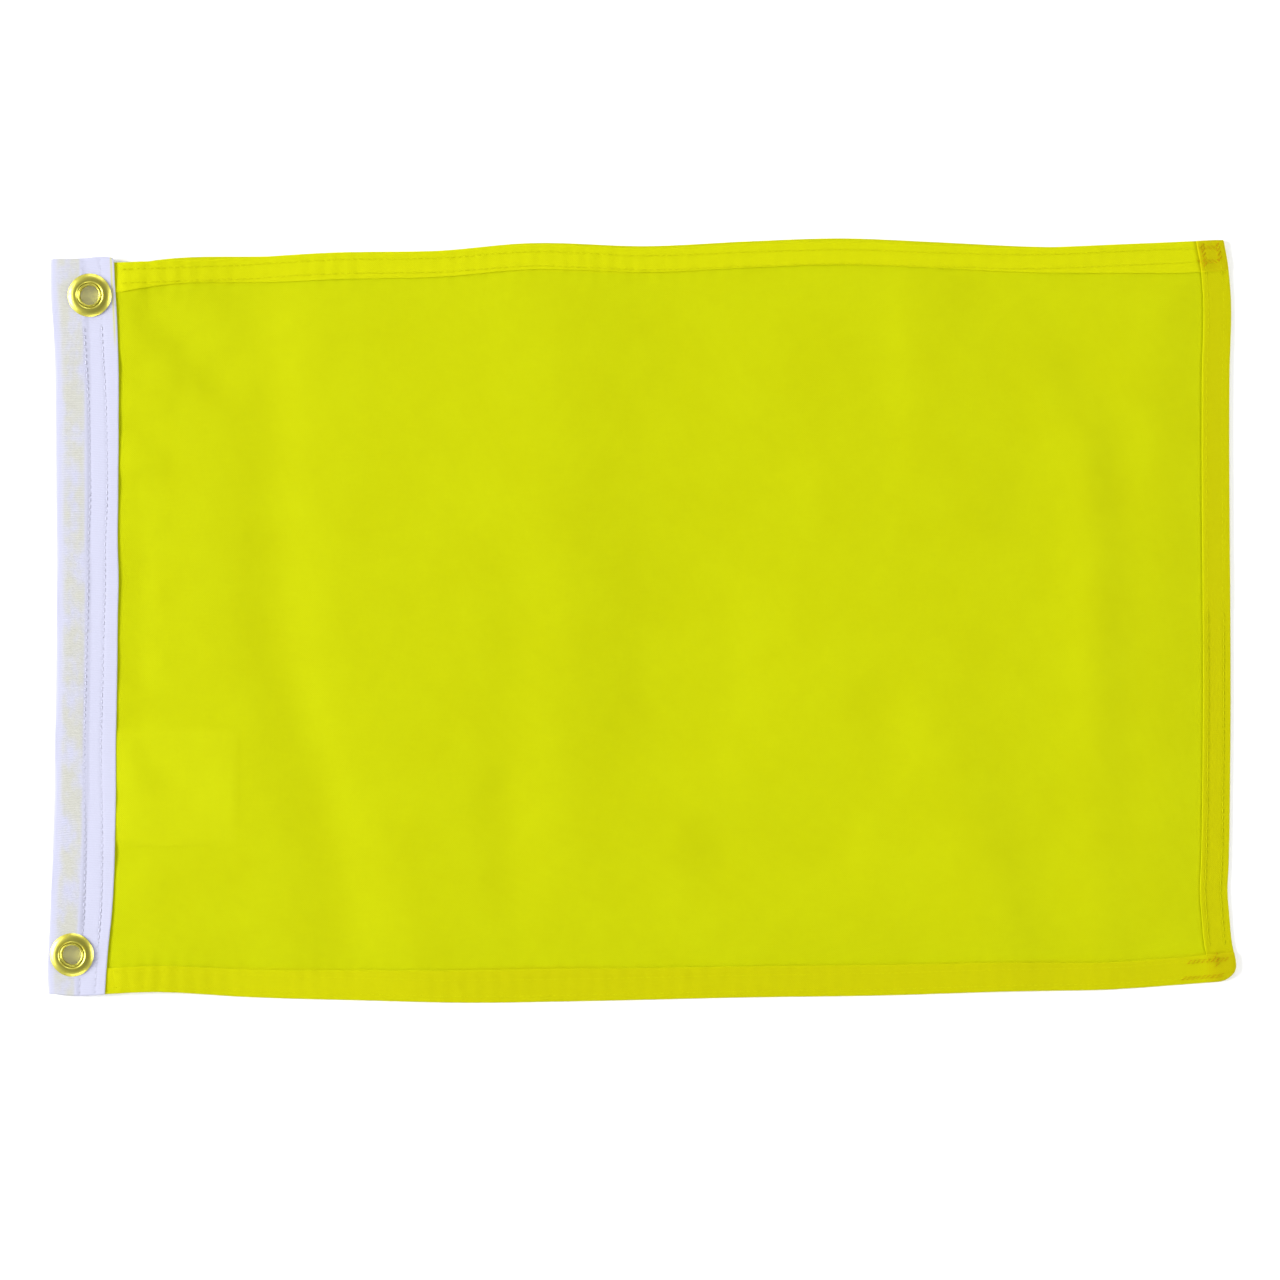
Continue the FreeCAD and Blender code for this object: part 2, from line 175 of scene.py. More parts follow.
top_hem = line_through((-214, 12.3), (-199, 10.2), (-140, 10.9), (-17, 9.7),
                       (147, 9.7), (220, 12.7))
bottom_hem = line_through((-209, 10.7), (-140, 11.6), (-65, 13.2), (25, 12.7),
                          (150, 11.8), (190, 11.1), (240, 11.5))
TOP_CORNER_R = 0.4        # how round the fly corners are
BOTTOM_CORNER_R = 6.5
TAPE_CORNER_R = 1.4       # and the heading's top corners
edge_wobble = Noise(1, 17)


def rounded(from_side, from_end, radius):
    """The two distances, moved so that a square corner becomes a round one."""
    a, b = radius - from_side, radius - from_end
    inside = (a > 0) & (b > 0)
    longest = np.where(inside, np.maximum(a, b), 1.0)
    across = np.where(inside, np.hypot(a, b), 1.0)
    scale = np.where(inside, longest / across, 1.0)
    return radius - a * scale, radius - b * scale


def field_place(x, y):
    """Where a point of the square, nominal field lies."""
    for side, radius in ((1, TOP_CORNER_R), (-1, BOTTOM_CORNER_R)):
        from_fly, from_end = rounded(FLY_X - x, TOP_Y - side * y, radius)
        near = side * y > TOP_Y - radius
        x = np.where(near, FLY_X - from_fly, x)
        y = np.where(near, side * (TOP_Y - from_end), y)
    low, high = bottom_edge(x), top_edge(x)
    placed_y = low + (y + TOP_Y) / HOIST * (high - low)
    start, end = heading_edge(placed_y), fly_edge(placed_y)
    share = (x - SEAM_X) / FLY
    inside = np.minimum(x - SEAM_X, 0.0)
    placed_x = start + inside + np.maximum(share, 0.0) * (end - start)
    return placed_x, placed_y


def heading_place(from_fold, y):
    """Where a point of the square, nominal heading lies."""
    for left in (True, False):
        from_side = from_fold if left else HEADING_WIDTH - from_fold
        from_side, from_end = rounded(from_side, TOP_Y - y, TAPE_CORNER_R)
        near = y > TOP_Y - TAPE_CORNER_R
        moved = from_side if left else HEADING_WIDTH - from_side
        from_fold = np.where(near, moved, from_fold)
        y = np.where(near, TOP_Y - from_end, y)
    low, high = heading_bottom(from_fold), heading_top(from_fold)
    placed_y = low + (y + TOP_Y) / HOIST * (high - low)
    fold = heading_fold(placed_y)
    edge = heading_edge(placed_y) + 0.25 * edge_wobble(0.0, placed_y)
    return fold + from_fold / HEADING_WIDTH * (edge - fold), placed_y


# ---- Lie: how high the cloth is above the surface ----
heading_waves = Noise(2, 60, 34)
HEADING_SAG = 1.3         # height of the heading's middle, between its grommets


def heading_lie(x, y):
    """Height of the heading's middle: its eyelets hold it up, and it sags between."""
    held = 0.0
    for _, hole_y in GROMMETS.values():
        held = np.maximum(held, 1 - smoothstep((np.abs(y - hole_y) - 12) / 48))
    low = HEADING_SAG + 0.12 * heading_waves(x, y)
    return low + held * (HEADING_Z - low)


class LongFold:
    """A soft ridge, or a hollow if its height is negative, running up the hoist. Its
    course and its height are (y, value) points, and each flank has its own width."""

    def __init__(self, course, height, left, right):
        self.course = line_through(*course)
        self.height = line_through(*height)
        self.left, self.right = left, right

    def __call__(self, x, y):
        off = x - self.course(y)
        width = np.where(off < 0, self.left, self.right)
        return self.height(y) * bump(off, width)


class Crease:
    """A straight ridge or hollow from one point to another, fading at both ends."""
    FADE = 0.25               # share of its length over which each end fades

    def __init__(self, start, end, height, left, right):
        self.start, self.end = np.array(start, float), np.array(end, float)
        self.height, self.left, self.right = height, left, right

    def __call__(self, x, y):
        run = self.end - self.start
        length = np.hypot(*run)
        ahead = run / length
        dx, dy = x - self.start[0], y - self.start[1]
        along = (dx * ahead[0] + dy * ahead[1]) / length
        off = dx * ahead[1] - dy * ahead[0]
        width = np.where(off < 0, self.left, self.right)
        ends = smoothstep(along / self.FADE) * smoothstep((1 - along) / self.FADE)
        return self.height * ends * bump(off, width)


FOLDS = [LongFold(*shape) for shape in (
    # The dip just outside the heading, halfway down.
    ([(60, -210), (-60, -211)],
     [(60, 0.0), (30, -1.0), (-35, -1.0), (-60, 0.0)], 4, 9),
    ([(-90, -213), (-150, -215)],
     [(-90, 0.0), (-105, -0.5), (-150, -0.5)], 4, 9),
    # The valley beside the heading, with a sharp rise after it.
    ([(150, -160), (137, -158), (85, -152), (34, -149), (-12, -147),
      (-42, -138), (-78, -129), (-124, -121), (-150, -118)],
     [(150, -1.0), (110, -1.5), (60, -1.4), (0, -1.8), (-60, -1.4),
      (-110, -1.3), (-150, -0.9)], 16, 13),
    # The ridge left of the middle: broad above, and sharp on its left below.
    ([(150, -36), (60, -37), (-20, -38)],
     [(150, 1.2), (100, 1.5), (40, 1.3), (0, 0.0)], 34, 26),
    ([(60, -38), (0, -38), (-60, -35), (-120, -30)],
     [(60, 0.0), (30, 0.5), (-40, 0.7), (-85, 0.5), (-120, 0.0)], 14, 24),
    ([(45, -49), (0, -48), (-60, -47)],
     [(48, 0.0), (15, -0.8), (-25, -0.8), (-58, 0.0)], 12, 14),
    # The hollow in the middle, and the rise right of it.
    ([(70, 20), (20, 22), (-20, 21), (-70, 10)],
     [(56, 0.0), (10, -2.8), (-42, -3.0), (-74, -0.3)], 36, 36),
    ([(150, 14), (100, 20), (60, 24)],
     [(150, -0.8), (110, -0.8), (70, 0.0)], 24, 24),
    # The narrow rise right of the middle, above.
    ([(150, 109), (70, 113), (30, 118)],
     [(150, 0.7), (100, 0.8), (66, 0.6), (36, 0.0)], 8, 24),
    # The ridge that widens towards the bottom.
    ([(-10, 116), (-60, 128), (-100, 142), (-150, 153)],
     [(-8, 0.0), (-45, 1.1), (-90, 1.8), (-150, 1.8)], 26, 13),
    # The ridge near the fly.
    ([(150, 146), (137, 150), (106, 164), (75, 179), (34, 185), (-32, 186),
      (-68, 186), (-124, 189), (-150, 190)],
     [(150, 0.4), (100, 0.9), (40, 1.6), (0, 1.9), (-42, 1.6), (-75, 1.0),
      (-150, 1.1)], 12, 11),
    # The rise and the hollow low on the left.
    ([(-80, -102), (-150, -86)],
     [(-72, 0.0), (-110, 0.9), (-150, 0.6)], 14, 18),
    ([(-35, -52), (-100, -53), (-150, -46)],
     [(-30, 0.0), (-75, -0.9), (-112, -0.8), (-150, 0.0)], 10, 13),
)]
CREASES = [Crease(*shape) for shape in (
    # From the upper grommet down into the field, and small pulls along the seam.
    ((-216, 140), (-160, 88), -1.4, 12, 8),
    ((-217, 122), (-186, 112), 0.4, 4, 5),
    ((-217, 105), (-184, 99), 0.5, 4, 5),
    ((-217, 92), (-188, 88), 0.5, 3, 4),
    ((-217, 67), (-190, 64), 0.5, 3, 4),
    ((-217, 38), (-190, 42), 0.4, 3, 4),
    ((-217, 12), (-192, 12), 0.4, 3, 4),
    ((-217, -14), (-190, -18), 0.4, 4, 4),
    ((-219, -112), (-190, -108), 0.4, 3, 4),
    # The crease that shows over the label.
    ((-212, -46), (-176, -80), -0.4, 4, 5),
    # The corner of the fly, turned up along a diagonal.
    ((124, 148), (198, 84), -1.2, 26, 14),
    ((194, 100), (196, 30), -0.6, 12, 8),
    # The fall below the rise right of the middle.
    ((52, 60), (158, 43), 1.2, 16, 9),
    # Hollows and small dents low in the field.
    ((14, -95), (98, -92), -1.3, 16, 15),
    ((97, -18), (108, -68), -0.8, 10, 12),
    ((-70, -82), (-48, -59), -0.30, 5, 6),
)]
broad_relief = Noise(3, 46, 58)
fine_relief = Noise(4, 15, 21)
seam_puckers = Noise(5, 400, 8)
pucker_shift = Noise(6, 17, 900)
fly_shift = Noise(7, 900, 19)
PUCKER = 6.6              # from one pucker of a hem to the next
LEVEL = 2.1               # height of the field's middle where it lies clear
EDGE_LEVEL = 0.30         # and at its edges
FOLD_SHARE = 0.75         # how much of their stated height the folds have
STEP = 0.6                # width of the step over an edge below the cloth
GROOVE = 0.8              # half the width that a row of stitches draws in


def label_cover(x, y):
    """1 where the label lies behind the cloth."""
    right = smoothstep((label_high[0] + STEP / 2 - x) / STEP)
    up = smoothstep((label_high[1] + STEP / 2 - y) / STEP)
    down = smoothstep((y - label_low[1] + STEP / 2) / STEP)
    return right * up * down


def puckers(along, shift, from_edge, hem):
    """Small gathers across a hem and a little way into the field beside it."""
    wave = np.sin(2 * math.pi * along / PUCKER + 2.6 * shift)
    reach = bump(np.maximum(from_edge - hem + 1, 0), 4)
    return 0.07 * wave * reach * (1 + 0.8 * shift)


def field_lie(x, y):
    """Height of the middle of the field's own ply."""
    from_seam = x - heading_edge(y)
    from_top, from_bottom = top_edge(x) - y, y - bottom_edge(x)
    from_edge = np.minimum(np.minimum(from_top, from_bottom), fly_edge(y) - x)
    clear = smoothstep(from_edge / 34)
    folds = sum(fold(x, y) for fold in FOLDS) + sum(c(x, y) for c in CREASES)
    folds = folds + 0.22 * broad_relief(x, y) + 0.06 * fine_relief(x, y)
    level = EDGE_LEVEL + (LEVEL - EDGE_LEVEL) * clear
    drop = smoothstep((from_seam - 6) / 54)
    leaving = heading_lie(x, y) + 0.20
    lying = leaving + drop * (level - leaving)
    shown = (0.45 + 0.55 * clear) * smoothstep((from_seam + 1) / 16)
    lying = lying + FOLD_SHARE * folds * shown
    beside_seam = bump(from_seam - 8, 8) * (from_seam > -2)
    lying = lying + 0.55 * seam_puckers(x, y) * beside_seam
    lying = lying + puckers(x, pucker_shift(x, y), from_top, 11.0)
    lying = lying + puckers(x + 2.0, pucker_shift(x, y), from_bottom, 12.5)
    lying = lying + 0.6 * puckers(y, fly_shift(x, y), fly_edge(y) - x, 12.0)
    lying = lying + 0.20 * label_cover(x, y)
    # A soft floor: the cloth presses flat where it would go below the surface.
    least = CLOTH / 2 + FLOOR_GAP + 0.18 * label_cover(x, y)
    soft = 0.15
    return least + soft * np.logaddexp(0.0, (lying - least) / soft)


# ---- Folding the hems ----
ARC = 0.5                 # half the flat length of a hem's outer fold
INNER_ARC = 0.3           # half the flat length of its inner fold
SETTLE = 12.0             # how far a thick fold pulls the cloth in
UNDER_HEM = 15.0          # width of the finer grid lines under a hem


def fold_over(flat, level, hem, stack):
    """Turns an edge up and in, and its raw edge under. flat is the distance past the
    finished edge before folding, level the height in what is folded, hem the finished
    hem's width, and stack the thickness that is folded. Returns the distance inside
    the finished edge, and the height."""
    outer_r = (3 * stack - PLY) / 2
    inner_r = stack - PLY / 2
    top_run = hem - ARC - INNER_ARC
    top_end = ARC + top_run
    under_start = top_end + 2 * INNER_ARC
    pulled = (outer_r - ARC) * np.exp(np.minimum(flat + ARC, 0.0) / SETTLE)
    outer_turn = math.pi * (flat + ARC) / (2 * ARC)
    inner_turn = math.pi * (flat - top_end) / (2 * INNER_ARC)
    share = (flat - ARC) / top_run
    # The ply below, the outer fold, the ply on top, the inner fold; then the raw edge.
    zones = [flat < -ARC, flat < ARC, flat < top_end, flat < under_start]
    inside = np.select(zones, [
        -flat + pulled, outer_r - (outer_r - level) * np.sin(outer_turn),
        outer_r + share * (hem - outer_r - inner_r),
        hem - inner_r + (inner_r - level) * np.sin(inner_turn),
    ], hem - inner_r - (flat - under_start))
    height = np.select(zones, [
        level, outer_r - (outer_r - level) * np.cos(outer_turn),
        3 * stack - PLY - level,
        2 * stack - PLY / 2 + (inner_r - level) * np.cos(inner_turn),
    ], stack + level)
    return inside, height


def fold_corner(flat, height, hem, past_hem):
    """fold_over where past_hem, the distance into a hem that is already folded, makes
    the cloth thicker."""
    plies = smoothstep((past_hem + 1.0) / 2.0)
    stack = PLY * (1 + 2 * CORNER_CRUSH * plies)
    return fold_over(flat, height * (1 - 0.3 * plies), hem, stack)


def folded(u, v):
    """Nominal place and height in the stack of a point (u, v) of the flat cut cloth."""
    inside, height = fold_over(v - TOP_Y, 0 * v, top_hem(u), PLY)
    y = np.where(v > 0, TOP_Y - inside, v)
    height = np.where(v > 0, height, 0.0)

    inside, height = fold_corner(u - FLY_X, height, FLY_HEM,
                                 y - (TOP_Y - top_hem(u)))
    x = FLY_X - inside

    inside, turned = fold_corner(-v - TOP_Y, height, bottom_hem(u),
                                 x - (FLY_X - FLY_HEM))
    y = np.where(v < 0, inside - TOP_Y, y)
    height = np.where(v < 0, turned, height)
    return x, y, height


def fold_lines(edge, hem):
    """Flat distances from the middle to a hem's grid lines: the ply under it, the outer
    fold, the ply on top, the inner fold, and the raw edge turned in."""
    top_run = hem - ARC - INNER_ARC
    under_start = ARC + top_run + 2 * INNER_ARC
    return edge + np.concatenate([
        np.linspace(-UNDER_HEM, -ARC, 8, endpoint=False),
        np.linspace(-ARC, ARC, 6, endpoint=False),
        np.linspace(ARC, ARC + top_run, 11, endpoint=False),
        np.linspace(ARC + top_run, under_start, 5, endpoint=False),
        np.linspace(under_start, under_start + TURN_IN, 4),
    ])


def even_lines(start, end, step):
    """Grid lines from start to just short of end."""
    return np.linspace(start, end, max(2, round((end - start) / step)), endpoint=False)


# ---- Meshes ----
def placed(name, data):
    """A new object of that data, in the scene."""
    thing = bpy.data.objects.new(name, data)
    bpy.context.scene.collection.objects.link(thing)
    return thing


def build_mesh(name, points, faces, attributes=None, smooth=True):
    """A new mesh object from points in millimetres and a list of faces. Attributes are
    given per point."""
    mesh = bpy.data.meshes.new(name)
    mesh.from_pydata((np.asarray(points) * MM).tolist(), [], faces)
    for key, values in (attributes or {}).items():
        values = np.asarray(values, np.float32)
        kind = "FLOAT" if values.ndim == 1 else "FLOAT_VECTOR"
        attribute = mesh.attributes.new(key, kind, "POINT")
        field = "value" if values.ndim == 1 else "vector"
        attribute.data.foreach_set(field, values.ravel())
    mesh.polygons.foreach_set("use_smooth", [smooth] * len(mesh.polygons))
    mesh.validate()
    mesh.update()
    return placed(name, mesh)


def grid_faces(rows, columns, first=0, closed=False, flip=False):
    """Quads of a grid of points. closed joins the last column to the first."""
    wide = columns if closed else columns - 1
    i, j = np.meshgrid(np.arange(rows - 1), np.arange(wide), indexing="ij")
    k = (j + 1) % columns
    quads = np.stack([i * columns + j, i * columns + k, (i + 1) * columns + k,
                      (i + 1) * columns + j], -1).reshape(-1, 4) + first
    return quads[:, ::-1] if flip else quads


def sheet_normals(points):
    """Unit normals of a grid of points, shape (rows, columns, 3)."""
    along_rows = np.gradient(points, axis=0)
    along_columns = np.gradient(points, axis=1)
    normal = np.cross(along_columns, along_rows)
    return normal / np.maximum(np.linalg.norm(normal, axis=-1, keepdims=True), 1e-9)


def thick_sheet(name, middle, thickness, attributes):
    """A closed sheet of that thickness about a grid of points, shape (rows, columns,
    3), whose columns run along +X and rows along +Y where it lies face up."""
    rows, columns, _ = middle.shape
    normal = sheet_normals(middle)
    front = (middle + normal * thickness / 2).reshape(-1, 3)
    back = (middle - normal * thickness / 2).reshape(-1, 3)
    count = rows * columns
    faces = [grid_faces(rows, columns), grid_faces(rows, columns, count, flip=True)]
    index = np.arange(count).reshape(rows, columns)
    border = np.concatenate([index[0, :], index[1:, -1], index[-1, -2::-1],
                             index[-2:0:-1, 0]])
    after = np.roll(border, -1)
    faces.append(np.stack([after, border, border + count, after + count], -1))
    doubled = {key: np.concatenate([value.reshape(count, *value.shape[2:])] * 2)
               for key, value in attributes.items()}
    return build_mesh(name, np.concatenate([front, back]),
                      np.concatenate(faces).tolist(), doubled)


# ---- Materials ----
class Nodes:
    """A short way to write a procedural material's nodes."""

    def __init__(self, name):
        self.material = bpy.data.materials.new(name)
        self.material.use_nodes = True
        self.tree = self.material.node_tree
        self.shader = self.tree.nodes["Principled BSDF"]

    def add(self, kind, inputs=None, **settings):
        """A node of that kind. inputs maps sockets to values or to other sockets."""
        node = self.tree.nodes.new(kind)
        for key, value in settings.items():
            setattr(node, key, value)
        return self.feed(node, inputs or {})

    def feed(self, node, inputs):
        """Sets a node's inputs, or links them where the value is a socket."""
        for key, value in inputs.items():
            if isinstance(value, bpy.types.NodeSocket):
                self.tree.links.new(value, node.inputs[key])
            else:
                node.inputs[key].default_value = value
        return node

    def math(self, operation, a, b=0.0, c=0.0, clamp=False):
        return self.add("ShaderNodeMath", {0: a, 1: b, 2: c}, operation=operation,
                        use_clamp=clamp).outputs[0]

    def times(self, a, b):
        return self.math("MULTIPLY", a, b)

    def line(self, a, slope, base):
        return self.math("MULTIPLY_ADD", a, slope, base)

    def wave(self, turn):
        """Rounded crowns: the size of the sine."""
        return self.math("ABSOLUTE", self.math("SINE", turn))

    def mix(self, share, a, b, blend="MIX"):
        return self.add("ShaderNodeMix", {0: share, 6: a, 7: b}, data_type="RGBA",
                        blend_type=blend).outputs[2]

    def ramp(self, value, low, high):
        """0 where value is at low and 1 where it is at high."""
        return self.add("ShaderNodeMapRange", {0: value, 1: low, 2: high},
                        interpolation_type="SMOOTHSTEP").outputs[0]

    def noise(self, vector, scale, detail=3.0, roughness=0.5):
        return self.add("ShaderNodeTexNoise", {
            "Vector": vector, "Scale": scale, "Detail": detail,
            "Roughness": roughness}).outputs[0]

    def attribute(self, name, output="Fac"):
        return self.add("ShaderNodeAttribute", attribute_name=name).outputs[output]

    def axes(self, vector):
        return self.add("ShaderNodeSeparateXYZ", {0: vector}).outputs

    def shaded(self, colour, tone):
        """The colour darkened by a tone between 0 and 1."""
        grey = self.add("ShaderNodeCombineColor", {0: tone, 1: tone, 2: tone})
        return self.mix(1.0, colour, grey.outputs[0], "MULTIPLY")

    def scaled(self, vector, x, y, z=1.0):
        return self.add("ShaderNodeVectorMath", {0: vector, 1: (x, y, z)},
                        operation="MULTIPLY").outputs[0]

    def yarns(self, place, pitch):
        """Rounded yarns across one axis: 1 on a yarn's crown and 0 between yarns."""
        return self.wave(self.times(place, math.pi / pitch))

    def finish(self, roughness, colour, height=None, depth=None, **plain):
        """Feeds the shader its colour, roughness and relief, and its plain numbers."""
        self.feed(self.shader, {"Base Color": colour, "Roughness": roughness})
        if height is not None:
            relief = self.add("ShaderNodeBump", {"Strength": 1.0, "Distance": depth,
                                                 "Height": height})
            self.feed(self.shader, {"Normal": relief.outputs[0]})
        for key, value in plain.items():
            self.shader.inputs[key.replace("_", " ")].default_value = value
        return self.material


def rgb(red, green, blue):
    """A linear colour from sRGB values between 0 and 255."""
    def linear(value):
        value = value / 255
        return value / 12.92 if value <= 0.04045 else ((value + 0.055) / 1.055) ** 2.4
    return linear(red), linear(green), linear(blue), 1.0


# The plain weave is drawn on the cloth's own flat coordinates, in millimetres, so it
# turns with the hems and bends with the cloth.
FIELD_YARN = 0.42
CANVAS_RIB = 0.72
CANVAS_END = 0.50


def field_material():
    m = Nodes("field_fabric")
    flat = m.attribute("flat", "Vector")
    x, y, _ = m.axes(flat)
    warp, weft = m.yarns(x, FIELD_YARN), m.yarns(y, FIELD_YARN)
    checker = m.times(m.math("SINE", m.times(x, math.pi / FIELD_YARN)),
                      m.math("SINE", m.times(y, math.pi / FIELD_YARN)))
    weave = m.line(checker, 0.5, m.times(warp, weft))
    slub = m.noise(m.scaled(flat, 0.12, 2.4), 1.0, 2.0)
    slub_up = m.noise(m.scaled(flat, 2.4, 0.12), 1.0, 2.0)
    mottle = m.noise(flat, 0.035, 3.0, 0.55)
    grain = m.noise(flat, 1.3, 2.0, 0.6)

    single = m.mix(m.ramp(mottle, 0.3, 0.7), rgb(173, 179, 3), rgb(175, 182, 4))
    # Painted light and shade: the hems' colour is brighter on the top hem, duller
    # towards the fly on the bottom one and darkest on the fly hem.
    thick = m.mix(m.attribute("painted_hem_light"), rgb(174, 172, 2), rgb(183, 186, 4))
    colour = m.mix(m.attribute("plies"), single, thick)
    # Painted shade: darker and more orange in the thick stacks at the fly corners.
    colour = m.mix(m.times(m.attribute("corner"), 0.85), colour,
                   rgb(170, 160, 2))
    # Painted light: the cloth is lighter where the label lies behind it.
    colour = m.mix(m.times(m.attribute("painted_label_light"), 0.10), colour,
                   rgb(200, 207, 20))
    streaks = m.math("ADD", slub, slub_up)
    # The weave term paints shade between the yarns. The streaks and grain are the
    # cloth's own uneven tone.
    tone = m.line(weave, 0.03, m.line(streaks, 0.06, m.line(grain, 0.12, 0.88)))
    colour = m.shaded(colour, tone)
    crinkle = m.noise(flat, 0.28, 2.0)
    relief = m.line(slub, 0.6, m.line(crinkle, 0.8, weave))
    return m.finish(0.82, colour, relief, 0.00005, Sheen_Weight=0.10,
                    Sheen_Roughness=0.45, Sheen_Tint=(0.95, 1.0, 0.03, 1.0),
                    Specular_IOR_Level=0.3, Specular_Tint=(1.0, 1.0, 0.03, 1.0))


def canvas_material():
    m = Nodes("heading_fabric")
    flat = m.attribute("flat", "Vector")
    x, y, _ = m.axes(flat)
    wander = m.line(m.noise(m.scaled(flat, 0.2, 0.08), 1.0, 1.0), 0.12, y)
    ribs, ends = m.yarns(wander, CANVAS_RIB), m.yarns(x, CANVAS_END)
    weave = m.times(ribs, m.line(ends, 0.45, 0.55))
    blotch = m.noise(m.scaled(flat, 0.10, 0.06), 1.0, 3.0, 0.6)
    cream = m.times(m.attribute("webbing"), m.ramp(blotch, 0.30, 0.60))
    colour = m.mix(cream, rgb(185, 186, 207), rgb(185, 185, 177))
    soil = m.ramp(m.noise(flat, 0.11, 4.0, 0.6), 0.62, 0.80)
    colour = m.mix(m.times(soil, 0.25), colour, rgb(172, 168, 150))
    colour = m.mix(m.attribute("yellow_edge"), colour, rgb(189, 187, 64))
    # Painted shade between the yarns and in the needle holes.
    painted_gap_shade = m.line(weave, 0.07, 0.94)
    painted_gap_shade = m.line(m.attribute("pricked"), -0.17, painted_gap_shade)
    colour = m.shaded(colour, painted_gap_shade)
    drawn = m.line(m.attribute("webbing"), 0.7, 0.3)
    relief = m.line(m.noise(flat, 1.7, 2.0), 0.25, m.times(weave, drawn))
    return m.finish(0.88, colour, relief, 0.00010, Sheen_Weight=0.08,
                    Specular_IOR_Level=0.2)


def webbing_material():
    m = Nodes("webbing_fabric")
    place = m.add("ShaderNodeTexCoord").outputs["Object"]
    flat = m.scaled(place, 1000.0, 1000.0, 1000.0)
    x, y, _ = m.axes(flat)
    weave = m.times(m.yarns(y, 1.1), m.yarns(x, 1.4))
    # Painted shade between the yarns: the colour is darker where the weave dips.
    colour = m.mix(weave, rgb(190, 186, 170), rgb(222, 218, 204))
    return m.finish(0.9, colour, weave, 0.0002, Specular_IOR_Level=0.2)


def label_material():
    m = Nodes("label_fabric")
    flat = m.attribute("flat", "Vector")
    x, y, _ = m.axes(flat)
    satin = m.line(m.yarns(x, 0.28), 0.3, m.yarns(y, 0.9))
    colour = m.mix(m.noise(flat, 0.2, 3.0), rgb(228, 228, 224), rgb(240, 240, 238))
    return m.finish(0.45, colour, satin, 0.00003, Sheen_Weight=0.1)


def thread_material(name, light, shade_colour):
    """Spun thread: plies twisted round it, with painted shade between the plies and
    where it goes into the cloth.
    """
    m = Nodes(name)
    along = m.attribute("along")
    round_ = m.attribute("round")
    twist = m.line(along, 14.0, m.times(round_, 2.0))
    strands = m.wave(twist)
    ends = m.math("ABSOLUTE", m.line(along, 2.0, -1.0))
    # Painted shade: darker towards the ends, where the thread goes into the cloth, and
    # between its plies.
    share = m.math("ADD", m.times(m.ramp(ends, 0.45, 1.0), 0.8),
                   m.line(strands, -0.15, 0.15), clamp=True)
    colour = m.mix(share, light, shade_colour)
    return m.finish(0.75, colour, strands, 0.00004, Specular_IOR_Level=0.3,
                    Specular_Tint=light)


def brass_material(name, centre):
    """Pressed and polished brass, with fine turned marks about the grommet's axis."""
    m = Nodes(name)
    place = m.add("ShaderNodeTexCoord").outputs["Object"]
    from_axis = m.add("ShaderNodeVectorMath", {0: place, 1: (*centre * MM, 0.0)},
                      operation="SUBTRACT").outputs[0]
    x, y, z = m.axes(from_axis)
    radius = m.math("POWER", m.math("ADD", m.times(x, x), m.times(y, y)), 0.5)
    turned = m.add("ShaderNodeCombineXYZ", {0: radius, 1: m.times(z, 0.3)})
    marks = m.noise(turned.outputs[0], 9000.0, 2.0)
    dull = m.noise(place, 420.0, 4.0, 0.6)
    stain = m.ramp(dull, 0.50, 0.72)
    colour = m.mix(stain, rgb(214, 208, 94), rgb(196, 185, 62))
    rough = m.line(stain, 0.08, m.line(marks, 0.10, 0.34))
    return m.finish(rough, colour, marks, 0.000003, Metallic=1.0)


# Each thread's colour, and a darker copy of it for its painted shade.
FIELD_LIGHT, FIELD_SHADED = rgb(190, 192, 6), rgb(184, 185, 5)
WHITE_LIGHT, WHITE_SHADED = rgb(192, 193, 212), rgb(170, 169, 182)
AMBER_LIGHT, AMBER_SHADED = rgb(180, 144, 6), rgb(150, 100, 6)
FIELD = field_material()
CANVAS = canvas_material()
WEBBING = webbing_material()
LABEL = label_material()
HEM_THREAD = thread_material("hem_thread", FIELD_LIGHT, FIELD_SHADED)
WHITE_THREAD = thread_material("heading_thread", WHITE_LIGHT, WHITE_SHADED)
TACK_THREAD = thread_material("tack_thread", AMBER_LIGHT, AMBER_SHADED)


def clothe(piece, material):
    piece.data.materials.clear()
    piece.data.materials.append(material)
    return piece


# ---- Field ----
def spread_hems(u, v):
    """Moves the hems' grid lines, since the hems' widths vary along the flag."""
    full = FLAT_HEM - ARC - INNER_ARC
    for side, hem in ((1, top_hem), (-1, bottom_hem)):
        past = side * v - TOP_Y - ARC
        stretch = (hem(u) - ARC - INNER_ARC) / full
        spread = np.where(past < full, past * stretch, past + full * (stretch - 1))
        v = np.where(past > 0, side * (TOP_Y + ARC + spread), v)
    return v


def trim_inside(x, y):
    """Trims the cloth inside the heading round the grommets."""
    inside = np.clip((heading_edge(y) - x) / TUCK, 0, 1)
    for hole_x, hole_y in GROMMETS.values():
        trim = np.maximum(hole_x + PUNCH_R + 1.0 - (heading_edge(y) - TUCK), 0.0)
        near = smoothstep((PUNCH_R + 5.0 - np.abs(y - hole_y)) / 3.0)
        x = x + inside * trim * near
    return x


